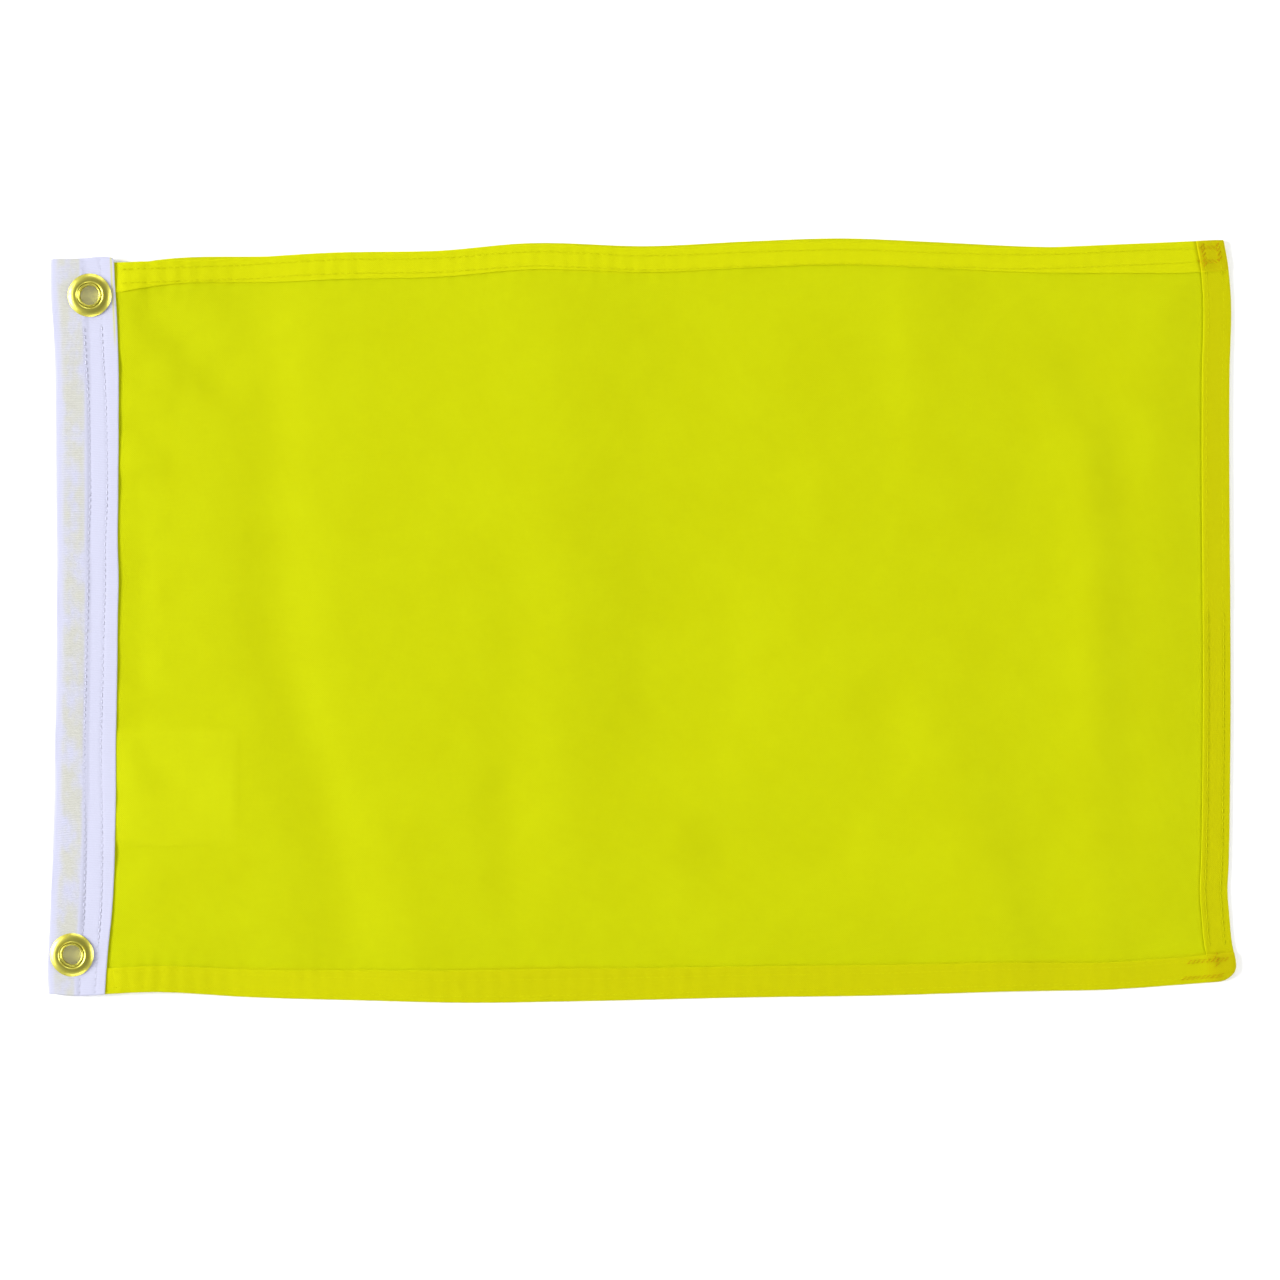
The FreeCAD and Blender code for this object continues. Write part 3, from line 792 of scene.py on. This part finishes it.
def field_cloth():
    """The whole yellow cloth, its three hems folded for real."""
    steps = (-0.4, 0.0, 0.4)
    label_columns = [label_high[0] + step for step in steps]
    label_rows = [edge + step for edge in (label_low[1], label_high[1])
                  for step in steps]
    across = np.concatenate([
        even_lines(SEAM_X - TUCK, SEAM_X - 1.0, 3.0),
        even_lines(SEAM_X - 1.0, SEAM_X + 30.0, 1.5),
        even_lines(SEAM_X + 30.0, FLY_X - UNDER_HEM, 1.75),
        fold_lines(FLY_X, FLY_HEM), label_columns,
    ])
    top = fold_lines(TOP_Y, FLAT_HEM)
    clear = TOP_Y - UNDER_HEM
    up = np.concatenate([-top, even_lines(-clear, clear, 3.3)[1:], top, label_rows])
    u, v = np.meshgrid(np.sort(across), np.sort(up))
    v = spread_hems(u, v)
    x, y, level = folded(u, v)
    place_x, place_y = field_place(x, y)
    lie = field_lie(place_x, place_y)
    place_x = trim_inside(place_x, place_y)
    # Between the plies of the heading, the hems' stacks are squeezed about the middle.
    held = 1 - smoothstep((place_x - heading_edge(place_y)) / 9 + 0.15)
    stack = stack_over(x, y)
    level = level * (1 - 0.25 * held) - held * (0.375 * stack + 0.20)
    on_top = smoothstep((level - 1.5 * PLY) / PLY)
    z = lie + level - 0.01 * stitch_grooves(x, y) * on_top
    # Painted light and shade on the hems: the top hem is the brightest, the bottom one
    # is duller towards the fly, and the fly hem is the darkest.
    painted_hem_light = np.where(y > 0, 1.0, 0.55 - 0.4 * smoothstep((x + 150) / 120))
    painted_hem_light = painted_hem_light * (1 - smoothstep((x - FLY_X + 14) / 4))
    piece = thick_sheet("field_sheet", np.stack([place_x, place_y, z], -1), CLOTH, {
        "flat": np.stack([u, v, 0 * u], -1), "plies": np.clip(stack / (2 * PLY), 0, 1),
        # corner carries the painted shade of the fly-corner stacks.
        "corner": np.clip(stack / (2 * PLY) - 1, 0, 1), "painted_hem_light": painted_hem_light,
        # Where painted light shows through the cloth over the label.
        "painted_label_light": label_cover(place_x, place_y)})
    clothe(piece, FIELD)
    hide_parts("field_cloth", "field_root")
    return piece


def stack_over(x, y):
    """Height of the stack's front above the field's own ply, at a nominal place."""
    top = smoothstep((y - TOP_Y + top_hem(x) + STEP / 2) / STEP)
    bottom = smoothstep((-y - TOP_Y + bottom_hem(x) + STEP / 2) / STEP)
    fly = smoothstep((x - FLY_X + FLY_HEM + STEP / 2) / STEP)
    hem = np.maximum(np.maximum(top, bottom), fly)
    corner = fly * np.maximum(top, bottom)
    return 2 * PLY * hem + 6 * PLY * CORNER_CRUSH * corner


def stitch_grooves(x, y):
    """1 along each stitched row of the hems."""
    rows = 0.0
    for inward, distances in ((TOP_Y - y, TOP_ROWS), (TOP_Y + y, BOTTOM_ROWS),
                              (FLY_X - x, FLY_ROWS)):
        for from_edge in distances:
            rows = np.maximum(rows, bump(inward - from_edge, GROOVE))
    return rows


# ---- Heading ----
CANVAS_PLY = 0.44         # thickness of the canvas
SEAM_HALF = 0.64          # half the heading's thickness over the cloth's edge
ROW_PITCH = 2.7           # from one stitch to the next
HEADING_ROWS = (13.2, 20.0)       # from the fold, before they wander
ROWS_START, ROWS_END = 11.6, 22.2   # the part with finer grid lines, for the rows
EDGE_BAND = 2.4           # the part with the finest ones, at the seam's edge
NEEDLE_HOLE = 0.35        # how far a needle's dent reaches along and across a row
WEBBING_WIDTH = 11.0
WEBBING_INSET = 1.3       # from the fold to the webbing
WEBBING_SHORT = 2.0       # from each end of the heading to the webbing's end
WEBBING_THICKNESS = 0.75
LABEL_THICKNESS = 0.12
row_wander = line_through((152, 0.0), (117, -0.6), (85, 0.6), (60, 1.0), (30, 0.2),
                          (0, -0.2), (-50, -0.6), (-100, 0.6), (-125, 1.0), (-152, 1.1))
canvas_relief = Noise(8, 14, 19)


def heading_half(from_fold, y):
    """Half the heading's outside thickness: more over the hems' ends, and rounded off
    at the front edge."""
    thin = smoothstep((from_fold - 12.4) / 2.4)
    over_hem = smoothstep((np.abs(y) - TOP_Y + 14) / 3)
    rounding = 0.05 * smoothstep((from_fold - HEADING_WIDTH + 0.4) / 0.4)
    return HEADING_HALF + thin * (SEAM_HALF - HEADING_HALF + 0.12 * over_hem) - rounding


def prick(from_fold, y):
    """1 at each needle hole of the heading's rows."""
    hole = (y / ROW_PITCH) % 1.0
    along = bump(np.minimum(hole, 1 - hole) * ROW_PITCH, NEEDLE_HOLE * 1.2)
    rows = 0.0
    for row in HEADING_ROWS:
        across = bump(from_fold - row - row_wander(y), NEEDLE_HOLE)
        rows = np.maximum(rows, across * along)
    return rows


def section(across, steps, radius):
    """One face of the folded tape, from its lower edge round the fold to its upper one:
    distances from the fold, and sides, from -1 below to 1 above."""
    around = np.linspace(0, math.pi, steps)[1:-1]
    fold = HEADING_HALF - radius * np.sin(around)
    ones = np.ones(len(across))
    return (np.concatenate([across[::-1], fold, across]),
            np.concatenate([-ones, -np.cos(around), ones]))


def end_caps(outer_count, inner_count):
    """Faces across the end of the C-shaped section, from its outside to its inside. The
    ring runs round the outside from the lower edge to the upper, and back inside."""
    outer = np.arange(outer_count)
    inner = outer_count + np.arange(inner_count)[::-1]
    across = inner[np.round(np.linspace(0, inner_count - 1, outer_count)).astype(int)]
    return np.stack([outer[:-1], outer[1:], across[1:], across[:-1]], -1)


def heading_canvas():
    """Canvas tape folded lengthwise over the webbing and the field's edge."""
    outer_x, outer_side = section(np.concatenate([
        even_lines(HEADING_HALF, ROWS_START, 1.0),
        even_lines(ROWS_START, ROWS_END, 0.45),
        even_lines(ROWS_END, HEADING_WIDTH - EDGE_BAND, 0.9),
        even_lines(HEADING_WIDTH - EDGE_BAND, HEADING_WIDTH, 0.3), [HEADING_WIDTH],
    ]), 9, HEADING_HALF)
    inner_x, inner_side = section(np.array(
        [HEADING_HALF, 6.0, 12.4, 14.8, 18.7, 22.0, HEADING_WIDTH]
    ), 5, HEADING_HALF - CANVAS_PLY)
    ring_x = np.concatenate([outer_x, inner_x])
    y = np.arange(-TOP_Y, TOP_Y + ROW_PITCH / 8, ROW_PITCH / 4)
    y[-1] = TOP_Y
    grid_x, grid_y = np.meshgrid(ring_x, y)
    rows, columns = grid_x.shape
    outer = np.broadcast_to(np.arange(columns) < len(outer_x), grid_x.shape) * 1.0
    side = np.broadcast_to(np.concatenate([outer_side, -inner_side]), grid_x.shape)

    place_x, place_y = heading_place(grid_x, grid_y)
    half = heading_half(grid_x, grid_y) - CANVAS_PLY * (1 - outer)
    relief = 0.10 * canvas_relief(place_x, place_y + 200 * side)
    pricked = prick(grid_x, grid_y)
    groove = sum(bump(grid_x - row - row_wander(grid_y), GROOVE)
                 for row in HEADING_ROWS)
    flat_at_grommet = 1.0
    for hole_x, hole_y in GROMMETS.values():
        away = np.hypot(place_x - hole_x, place_y - hole_y)
        flat_at_grommet = flat_at_grommet * smoothstep((away - 9.5) / 6)
    surface = (relief - 0.05 * groove - 0.10 * pricked) * flat_at_grommet * outer
    z = heading_lie(place_x, place_y) + side * (half + surface)

    over_webbing = 1 - smoothstep((grid_x - 11.2) / 1.4)
    over_webbing = over_webbing * smoothstep((grid_x - 2.2) / 2.4)
    # A thin yellow line shows just inside the front ply's edge, near the top.
    yellow = bump(grid_x - 24.3, 0.35) * smoothstep((grid_y - 112) / 12) * (side > 0)
    # How much painted shade the needle holes get: more towards the heading's lower end.
    seen = outer * (0.7 + 0.9 * smoothstep((-50 - grid_y) / 60))
    attributes = {
        "flat": np.stack([grid_x + 60 * (side < 0), grid_y, 0 * grid_x], -1)
        .reshape(-1, 3), "pricked": (pricked * seen).ravel(),
        "yellow_edge": (yellow * outer * 0.8).ravel(), "webbing": over_webbing.ravel()}
    faces = grid_faces(rows, columns, closed=True).tolist()
    caps = end_caps(len(outer_x), len(inner_x))
    for cap in (caps[:, ::-1], caps + (rows - 1) * columns):
        faces += [list(dict.fromkeys(face)) for face in cap.tolist()]
    points = np.stack([place_x, place_y, z], -1).reshape(-1, 3)
    piece = build_mesh("heading_tape", points, faces, attributes)
    punch(piece)
    clothe(piece, CANVAS)
    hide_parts("heading_canvas")
    return piece


def punch(piece):
    """Cuts both grommet holes through a piece."""
    cutters = []
    for place in GROMMETS.values():
        bpy.ops.mesh.primitive_cylinder_add(
            vertices=64, radius=PUNCH_R * MM, depth=20 * MM,
            location=(*place * MM, HEADING_Z * MM))
        cutters.append(bpy.context.object)
    for cutter in cutters:
        cut = piece.modifiers.new("hole", "BOOLEAN")
        cut.operation, cut.solver, cut.object = "DIFFERENCE", "EXACT", cutter
    graph = bpy.context.evaluated_depsgraph_get()
    mesh = bpy.data.meshes.new_from_object(piece.evaluated_get(graph))
    piece.modifiers.clear()
    old, piece.data = piece.data, mesh
    bpy.data.meshes.remove(old)
    for cutter in cutters:
        bpy.data.objects.remove(cutter)


def heading_webbing():
    """The stiffening strip in the fold, seen only at the heading's ends."""
    end = TOP_Y - WEBBING_SHORT
    x, y = np.meshgrid(np.linspace(WEBBING_INSET, WEBBING_INSET + WEBBING_WIDTH, 12),
                       np.linspace(-end, end, 150))
    place_x, place_y = heading_place(x, y)
    middle = np.stack([place_x, place_y, heading_lie(place_x, place_y)], -1)
    piece = thick_sheet("webbing_strip", middle, WEBBING_THICKNESS, {})
    punch(piece)
    clothe(piece, WEBBING)
    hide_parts("heading_webbing")
    return piece


def seam_label():
    """The blank label, held in the seam and lying under the field."""
    x0, x1 = label_low[0], label_high[0]
    across = np.concatenate([np.linspace(x0, SEAM_X + 14, 16, endpoint=False),
                             np.linspace(SEAM_X + 14, x1, 12)])
    x, y = np.meshgrid(across, np.linspace(label_low[1], label_high[1], 24))
    shift = heading_edge(y) - SEAM_X
    from_seam = x - SEAM_X
    held = heading_lie(x, y) - CLOTH / 2 - 0.1
    z = held + smoothstep(from_seam / 13) * (0.12 - held)
    middle = np.stack([x + shift * (1 - smoothstep(from_seam / 30)), y, z], -1)
    piece = thick_sheet("label_tape", middle, LABEL_THICKNESS,
                        {"flat": np.stack([x, y, 0 * x], -1)})
    clothe(piece, LABEL)
    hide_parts("label")
    return piece


# ---- Stitches ----
RINGS = 7                 # along one stitch
SIDES = 6                 # round it
THREAD_R = 0.17           # the heading's and the tacks' threads
HEM_THREAD_R = 0.13
ROW_ARCH = 0.02           # how far a stitch stands up in its middle
ROW_END = 1.5             # from a finished edge to a row's end
THREADS = ((True, "needle"), (False, "bobbin"))     # whether in front, and its name


def stitches(name, starts, ends, outward, arch, radius=THREAD_R):
    """Separate stitches from starts to ends, arrays of points. Each rises by arch along
    outward in its middle and dips into the cloth at its ends."""
    along = np.linspace(0, 1, RINGS)[:, None]
    turn = np.linspace(0, 2 * math.pi, SIDES, endpoint=False)[:, None]
    run = ends - starts
    ahead = run / np.linalg.norm(run, axis=1, keepdims=True)
    aside = np.cross(ahead, outward)
    rise = arch * (1 - (2 * along - 1) ** 4) - 0.28 * np.abs(2 * along - 1) ** 8
    thick = radius * np.sqrt(np.clip(1 - np.abs(2 * along - 1) ** 6, 0.09, 1))
    centre = starts[:, None] + run[:, None] * along + outward[:, None] * rise
    ring = aside[:, None] * np.cos(turn) + outward[:, None] * np.sin(turn)
    points = centre[:, :, None] + ring[:, None] * thick[:, None]
    count, each = len(starts), RINGS * SIDES
    low_cap = np.arange(SIDES)[::-1].tolist()
    high_cap = (np.arange(SIDES) + each - SIDES).tolist()
    one = grid_faces(RINGS, SIDES, closed=True).tolist() + [low_cap, high_cap]
    faces = [[corner + i * each for corner in face]
             for i in range(count) for face in one]
    shape = (count, RINGS, SIDES)
    return build_mesh(name, points.reshape(-1, 3), faces,
                      {"along": np.broadcast_to(along, shape).ravel(),
                       "round": np.broadcast_to(turn.T, shape).ravel()})


def row_of_stitches(name, surface, start, end, arch, fill=0.82, pitch=ROW_PITCH,
                    radius=THREAD_R):
    """A row along surface(s), which gives points and outward directions at places s."""
    count = int((end - start) / pitch)
    shake = np.random.default_rng(SEED + len(name)).uniform(-0.05, 0.05, (2, count))
    first = start + (np.arange(count) + (1 - fill) / 2 + shake[0]) * pitch
    last = first + (fill + shake[1]) * pitch
    a, outward = surface(first)
    b, _ = surface(last)
    return stitches(name, a, b, outward, arch, radius)


def surface_line(place, step=0.3):
    """place(s, shift) gives points for places s, shifted aside. The outward direction
    comes from their neighbours."""
    def at(s):
        here = place(s, 0.0)
        ahead = place(s + step, 0.0) - place(s - step, 0.0)
        aside = place(s, step) - place(s, -step)
        outward = np.cross(ahead, aside)
        outward /= np.linalg.norm(outward, axis=1, keepdims=True)
        return here, outward
    return at


def heading_row(row, front):
    """A line along a heading row, on its front or on its back."""
    from_fold = HEADING_ROWS[row]
    side = 1 if front else -1

    def place(s, shift):
        a = from_fold + row_wander(-s) + shift * side
        x, y = heading_place(a, -s)
        half = heading_half(a, -s) - 0.10
        return np.stack([x, y, heading_lie(x, y) + side * half], -1)
    return surface_line(place)


def hem_row(kind, from_edge, front):
    """A line along a hem, on its front or on the back of the flag."""
    def place(s, shift):
        step = shift if front else -shift
        if kind == "fly":
            x, y = FLY_X - from_edge + step + 0 * s, -s
        else:
            x, y = s, (TOP_Y - from_edge) * (1 if kind == "top" else -1) + step + 0 * s
        place_x, place_y = field_place(x, y)
        lie = field_lie(place_x, place_y)
        if front:
            z = lie + stack_over(x, y) + CLOTH / 2 - 0.07
        else:
            z = np.maximum(lie - CLOTH / 2 + 0.04, THREAD_R + 0.02)
        return np.stack([place_x, place_y, z], -1)
    return surface_line(place)


def clear_of_grommets(from_fold):
    """The stretches of a heading row between its ends and the grommets' rims."""
    stops = [ROW_END - TOP_Y]
    for x, y in GROMMETS.values():
        off = FOLD_X + from_fold + float(row_wander(y)) - x
        reach = math.sqrt(max(RIM_R ** 2 - off ** 2, 0.0))
        stops += [-y - reach, -y + reach] if reach else []
    stops.append(TOP_Y - ROW_END)
    return [(a, b) for a, b in zip(stops[::2], stops[1::2]) if b - a > 3]


def sew_heading():
    """Two rows through the heading, hidden under the grommets' rims."""
    for row, row_name in enumerate(("inner", "outer")):
        for front, thread in THREADS:
            name = f"heading_{row_name}_{thread}"
            surface = heading_row(row, front)
            parts = []
            for i, (a, b) in enumerate(clear_of_grommets(HEADING_ROWS[row])):
                start = math.ceil(a / ROW_PITCH) * ROW_PITCH
                parts.append(row_of_stitches(f"{name}_{i}", surface, start, b,
                                             ROW_ARCH))
            piece = joined(parts, f"{name}_stitches")
            clothe(piece, WHITE_THREAD)
            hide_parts(f"{name}_thread")
            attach(piece, "heading")


def joined(pieces, name):
    """The pieces as one object."""
    bpy.ops.object.select_all(action="DESELECT")
    for piece in pieces:
        piece.select_set(True)
    bpy.context.view_layer.objects.active = pieces[0]
    if len(pieces) > 1:
        bpy.ops.object.join()
    pieces[0].name = name
    pieces[0].data.name = name
    return pieces[0]


def across_bend(piece):
    """Bakes the piece's placement into its own mesh."""
    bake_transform(piece)


def sew_hems():
    """Twin rows round the three hems."""
    first = SEAM_X + 2.5
    rows = {"top": TOP_ROWS, "bottom": BOTTOM_ROWS, "fly": FLY_ROWS}
    for kind, distances in rows.items():
        for from_edge, row_name in zip(distances, ("outer", "inner")):
            for front, thread in THREADS:
                name = f"{kind}_hem_{row_name}_{thread}"
                surface = hem_row(kind, from_edge, front)
                if kind == "fly":
                    start, end = ROW_END - TOP_Y, TOP_Y - (13.0 if front else 2.0)
                else:
                    covered = kind == "top" and front
                    start, end = first, FLY_X - (FLY_HEM + 0.5 if covered else ROW_END)
                piece = row_of_stitches(f"{name}_stitches", surface, start, end,
                                        ROW_ARCH, radius=HEM_THREAD_R)
                clothe(piece, HEM_THREAD)
                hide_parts(f"{name}_thread")
                if kind == "fly":
                    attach(piece, "field")
                else:
                    across_bend(piece)


def sew_tacks():
    """Amber back-tacking over the row ends at the two fly corners."""
    runs = {
        "upper": [("fly", FLY_ROWS[1], -152.0, -141.0),
                  ("fly", FLY_ROWS[0], -152.3, -143.5),
                  ("top", TOP_ROWS[1], 228.6, 239.0),
                  ("top", TOP_ROWS[0], 229.4, 239.0)],
        "lower": [("bottom", BOTTOM_ROWS[1], 221.0, 239.5),
                  ("bottom", BOTTOM_ROWS[0], 219.0, 237.5), ("fly", 7.6, 140.0, 147.5)],
    }
    for corner, lines in runs.items():
        parts = []
        for i, (kind, from_edge, start, end) in enumerate(lines):
            for lap, shift in enumerate((-0.55, 0.0, 0.55)):
                surface = hem_row(kind, from_edge + shift, True)
                parts.append(row_of_stitches(f"{corner}_{i}_{lap}", surface,
                                             start + 0.6 * lap, end, 0.08, 0.55, 1.9))
        piece = joined(parts, f"{corner}_corner_tack_stitches")
        clothe(piece, TACK_THREAD)
        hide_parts(f"{corner}_corner_tack_thread")
        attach(piece, "field")


# ---- Room ----
def floor():
    """A plain white table."""
    half = 3000.0
    corners = [(x * half, y * half, 0) for x, y in ((-1, -1), (1, -1), (1, 1), (-1, 1))]
    piece = build_mesh("floor", corners, [[0, 1, 2, 3]], smooth=False)
    m = Nodes("floor_white")
    place = m.add("ShaderNodeTexCoord").outputs["Object"]
    shade = m.mix(m.noise(place, 3.0), (0.95, 0.95, 0.95, 1), (0.97, 0.97, 0.97, 1))
    piece.data.materials.append(m.finish(0.9, shade, Specular_IOR_Level=0.0,
                                         Emission_Color=(1.0, 1.0, 1.0, 1.0),
                                         Emission_Strength=0.03))


def area_light(name, place, size, power):
    """A softbox aimed at the middle of the flag. place and size are in metres."""
    data = bpy.data.lights.new(name, "AREA")
    data.shape, data.size, data.size_y = "RECTANGLE", *size
    data.energy = power
    light = placed(name, data)
    light.location = place
    light.rotation_euler = (-Vector(place)).to_track_quat("-Z", "Y").to_euler()


def room():
    """A low key light at the left, weaker lights on the other sides, and a pale room
    that is dimmer straight above."""
    area_light("key", (-3.10, 0.30, 1.15), (2.0, 0.9), 229.0)
    area_light("fill", (2.60, 0.05, 1.05), (1.4, 0.8), 67.0)
    area_light("far_side", (0.1, 2.30, 0.85), (1.6, 0.7), 16.3)
    area_light("near_side", (0.0, -2.30, 0.85), (1.6, 0.7), 16.3)
    world = bpy.data.worlds.new("studio")
    world.use_nodes = True
    nodes, link = world.node_tree.nodes, world.node_tree.links.new
    back = nodes["Background"]
    back.inputs["Color"].default_value = (1.0, 1.0, 1.0, 1.0)
    direction = nodes.new("ShaderNodeTexCoord")
    parts = nodes.new("ShaderNodeSeparateXYZ")
    level = nodes.new("ShaderNodeMapRange")
    level.inputs["To Min"].default_value = 0.79      # at the horizon
    level.inputs["To Max"].default_value = 0.12      # overhead
    link(direction.outputs["Generated"], parts.inputs[0])
    link(parts.outputs["Z"], level.inputs["Value"])
    link(level.outputs[0], back.inputs["Strength"])
    bpy.context.scene.world = world
    bpy.context.scene.view_settings.view_transform = "Standard"
    bpy.context.scene.view_settings.look = "None"


def camera():
    """Straight above, a little below the middle of the flag."""
    view_width, height = 0.524, 1.25
    data = bpy.data.cameras.new("camera")
    data.sensor_width = 36.0
    data.lens = data.sensor_width * height / view_width
    eye = placed("camera", data)
    eye.location = (-0.0004, -0.0076, height)
    bpy.context.scene.camera = eye


camera()
room()
floor()
across_bend(field_cloth())
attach(heading_canvas(), "heading")
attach(heading_webbing(), "heading")
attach(seam_label(), "heading")
sew_heading()
sew_hems()
sew_tacks()
for name, centre in GROMMETS.items():
    brass = brass_material(f"{name}_brass", centre)
    for half_name in ("eyelet", "washer"):
        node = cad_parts[f"{name}_{half_name}"]
        node.data.materials.clear()
        node.data.materials.append(brass)
